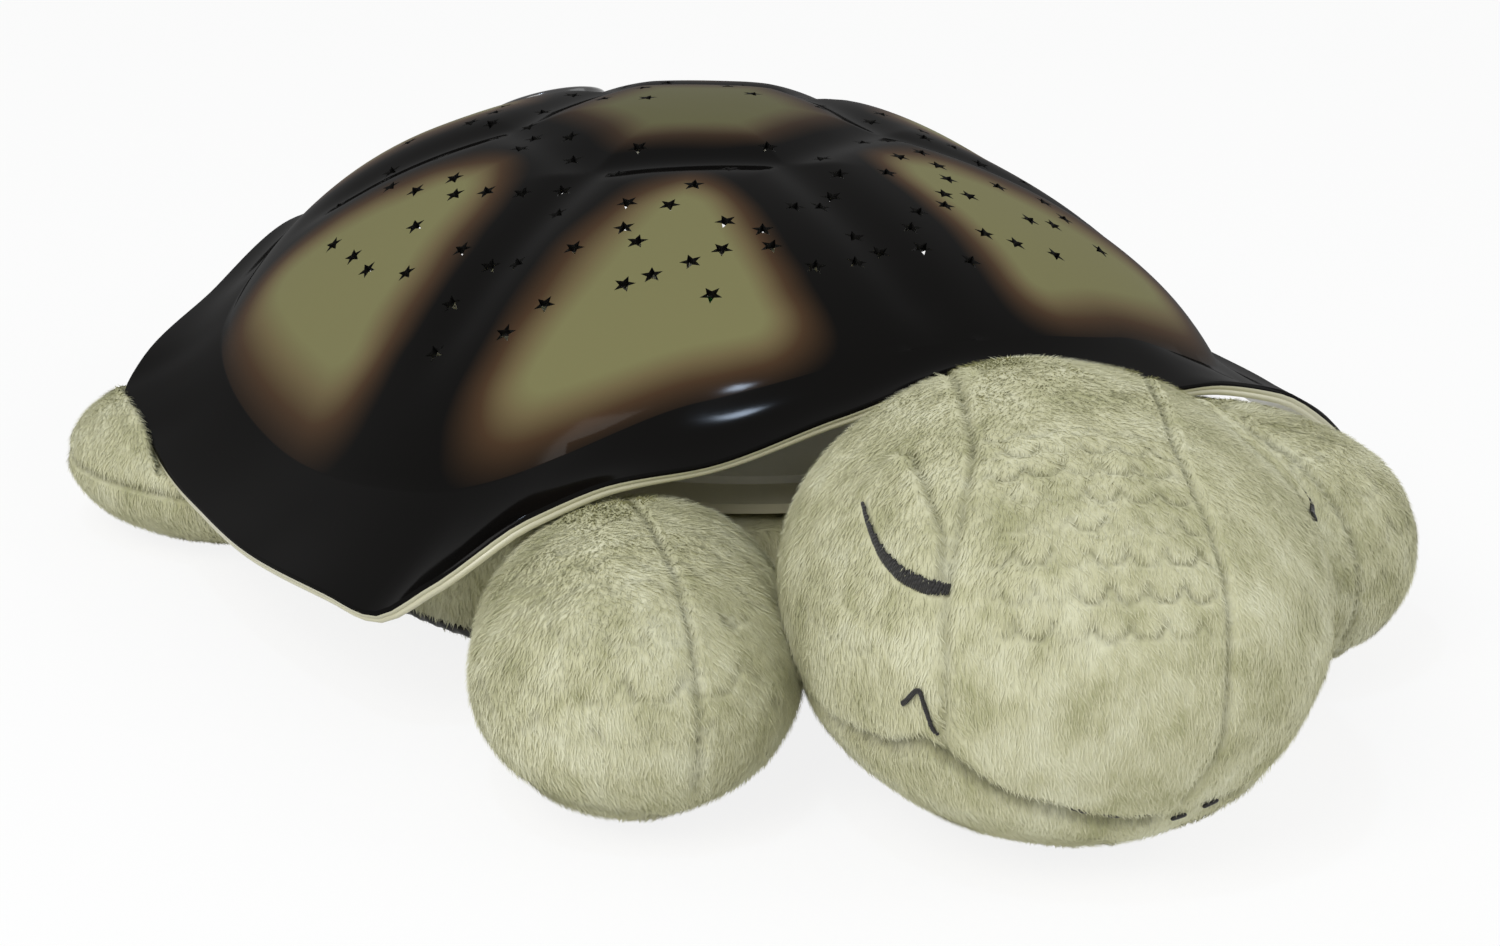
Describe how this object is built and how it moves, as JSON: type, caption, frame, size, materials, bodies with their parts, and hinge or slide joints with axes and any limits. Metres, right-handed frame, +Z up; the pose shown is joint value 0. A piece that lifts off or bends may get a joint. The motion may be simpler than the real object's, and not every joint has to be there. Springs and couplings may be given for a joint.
{
  "type": "star night light projector",
  "caption": "Plush turtle night light: a glossy domed shell pierced with small stars sits on a stuffed body and throws star-shaped light from coloured lamps inside.",
  "frame": {"origin": "centre of the body's flat underside, on the surface it rests on", "axes": "+Z up, -Y towards the head, +X to the turtle's left"},
  "size_m": [0.3188, 0.3971, 0.1121],
  "materials": {
    "shell": "gloss moulded shell, olive panels faded into black valleys and rim",
    "pale_plastic": "pale moulded plastic",
    "white_plastic": "white moulded plastic",
    "black_plastic": "gloss black moulded plastic",
    "plush": "short pile plush",
    "piping": "dark woven cord",
    "tape": "hook and loop tape",
    "board": "green circuit board",
    "chip": "black chip",
    "led_blue": "tinted lamp",
    "led_green": "tinted lamp",
    "led_amber": "tinted lamp",
    "button_blue": "soft-touch button",
    "button_green": "soft-touch button",
    "button_amber": "soft-touch button",
    "button_grey": "soft-touch button",
    "screw_steel": "zinc plated screw",
    "contact": "nickel plated spring steel",
    "cell": "printed metal sleeve",
    "lead": "insulated lead"
  },
  "bodies": {
    "body": {"star_shell": "shell", "base_housing": "pale_plastic", "housing_screws": "screw_steel", "light_deck": "white_plastic", "deck_screws": "screw_steel", "led_board": "board", "led_board_screws": "screw_steel", "led_blue": "led_blue", "led_green": "led_green", "led_amber": "led_amber", "control_board": "board", "control_board_screws": "screw_steel", "timer_chip": "chip", "battery_tray": "pale_plastic", "cells": "cell", "battery_springs": "contact", "contact_plates": "contact", "button_bezel": "black_plastic", "switch_board": "board", "tact_switches": "chip", "switch_leads": "lead", "led_leads": "lead", "battery_leads": "lead", "body_cover": "plush", "foot_piping": "piping", "hook_strip": "tape", "head": "plush", "neck": "plush", "front_right_flipper": "plush", "front_left_flipper": "plush", "rear_right_foot": "plush", "rear_left_foot": "plush", "tail": "plush"},
    "belly_flap": {"belly_flap": "plush", "loop_strip": "tape"},
    "battery_door": {"battery_door": "pale_plastic"},
    "door_screw": {"door_screw": "screw_steel"},
    "power_button": {"power_button": "button_grey"},
    "blue_button": {"blue_button": "button_blue"},
    "green_button": {"green_button": "button_green"},
    "amber_button": {"amber_button": "button_amber"}
  },
  "joints": [
    {"name": "power_button_press", "type": "slide", "parent": "body", "child": "power_button", "axis": [0, -0.5446, -0.8387], "range_m": [0, 0.0012], "stiffness_N_per_m": 900, "springref_m": -0.0006},
    {"name": "blue_button_press", "type": "slide", "parent": "body", "child": "blue_button", "axis": [0, -0.5446, -0.8387], "range_m": [0, 0.0012], "stiffness_N_per_m": 900, "springref_m": -0.0006},
    {"name": "green_button_press", "type": "slide", "parent": "body", "child": "green_button", "axis": [0, -0.5446, -0.8387], "range_m": [0, 0.0012], "stiffness_N_per_m": 900, "springref_m": -0.0006},
    {"name": "amber_button_press", "type": "slide", "parent": "body", "child": "amber_button", "axis": [0, -0.5446, -0.8387], "range_m": [0, 0.0012], "stiffness_N_per_m": 900, "springref_m": -0.0006},
    {"name": "belly_flap_swing", "type": "hinge", "parent": "body", "child": "belly_flap", "pos_m": [0, 0.0355, 0.0024], "axis": [1, 0, 0], "range_deg": [0, 105]},
    {"name": "battery_door_swing", "type": "hinge", "parent": "body", "child": "battery_door", "pos_m": [0, 0.0229, 0.0128], "axis": [1, 0, 0], "range_deg": [0, 72]},
    {"name": "door_screw_turn", "type": "hinge", "parent": "battery_door", "child": "door_screw", "pos_m": [0, -0.0206, 0.0117], "axis": [0, 0, 1], "continuous": true}
  ],
  "couplings": [
    {"joint": "battery_door_swing", "follows": "belly_flap_swing", "ratio": 0.6}
  ]
}
